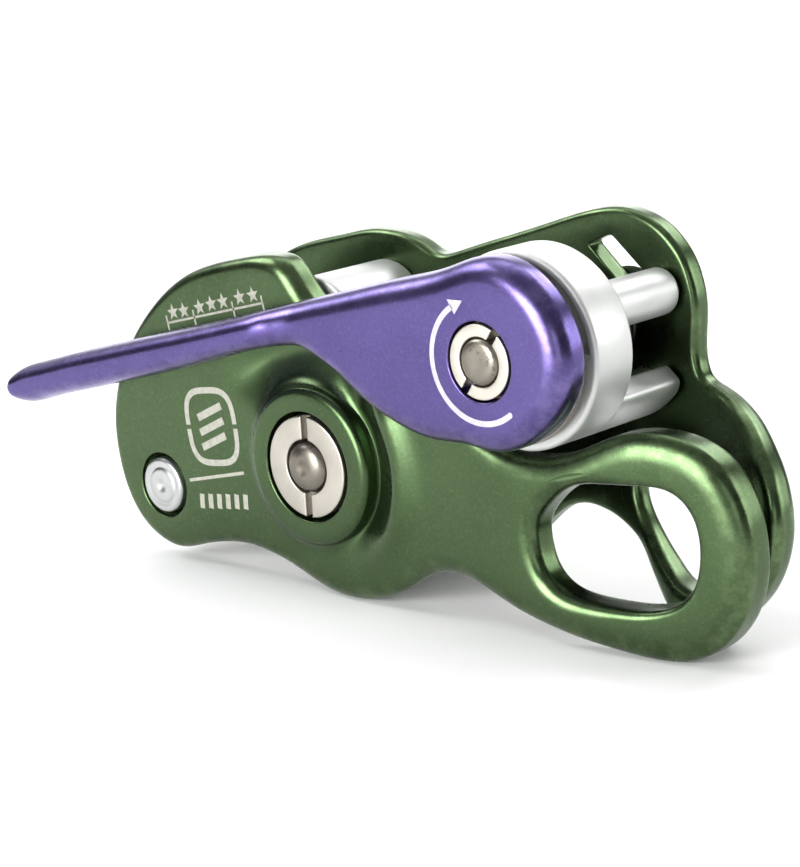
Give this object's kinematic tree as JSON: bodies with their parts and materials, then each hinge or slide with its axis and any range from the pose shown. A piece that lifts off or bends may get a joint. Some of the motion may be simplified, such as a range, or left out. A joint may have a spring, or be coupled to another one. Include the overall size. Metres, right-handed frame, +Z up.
{
  "type": "belay device",
  "caption": "Assisted-braking rope belay device with two forged side plates, a carabiner eye, a pivoting cam and a folding release lever.",
  "frame": {"origin": "centre of the bounding box at its base, on the surface the device stands on", "axes": "+X along the plates towards the carabiner eye, +Y from the front plate to the back plate, +Z up"},
  "size_m": [0.1092, 0.0304, 0.0473],
  "materials": {
    "green_anodised": "forged, anodised green, satin",
    "purple_anodised": "forged, anodised purple, satin",
    "polished_steel": "polished investment cast stainless steel",
    "ground_steel": "turned and ground stainless steel",
    "spring_steel": "oil-tempered spring wire",
    "bronze": "sintered bronze plain bearing"
  },
  "bodies": {
    "frame": {"back_plate": "green_anodised", "pivot_post": "ground_steel", "pivot_ring": "ground_steel", "pivot_pin": "ground_steel", "wave_washer": "ground_steel", "pivot_rear_head": "ground_steel", "guide_post": "polished_steel", "guide_rivet": "ground_steel", "cam_axle": "ground_steel", "axle_nut": "ground_steel", "axle_pin": "ground_steel", "axle_rear_head": "ground_steel", "cam_stop_pin": "ground_steel", "cam_spring": "spring_steel"},
    "front_side": {"front_plate": "green_anodised", "pivot_bush": "bronze", "catch_rivet": "polished_steel", "catch_post": "polished_steel"},
    "lever_unit": {"lever": "purple_anodised", "lever_bush": "bronze", "lever_lug": "ground_steel", "spacer_washer": "ground_steel", "lever_spring": "spring_steel"},
    "cam_unit": {"cam": "polished_steel", "cam_bush": "bronze"}
  },
  "joints": [
    {"name": "side_plate_swing", "type": "hinge", "parent": "frame", "child": "front_side", "pos_m": [-0.00581, -0.00511, 0.0164], "axis": [0, 1, 0], "range_deg": [0, 75]},
    {"name": "lever_pull", "type": "hinge", "parent": "frame", "child": "lever_unit", "pos_m": [0.02732, -0.01011, 0.03405], "axis": [0, 1, 0], "range_deg": [0, 95], "stiffness_Nm_per_rad": 0.02, "springref_deg": -20.05},
    {"name": "cam_lock", "type": "hinge", "parent": "frame", "child": "cam_unit", "pos_m": [0.02732, 0.00089, 0.03405], "axis": [0, -1, 0], "range_deg": [0, 30], "stiffness_Nm_per_rad": 0.03, "springref_deg": -22.92}
  ]
}
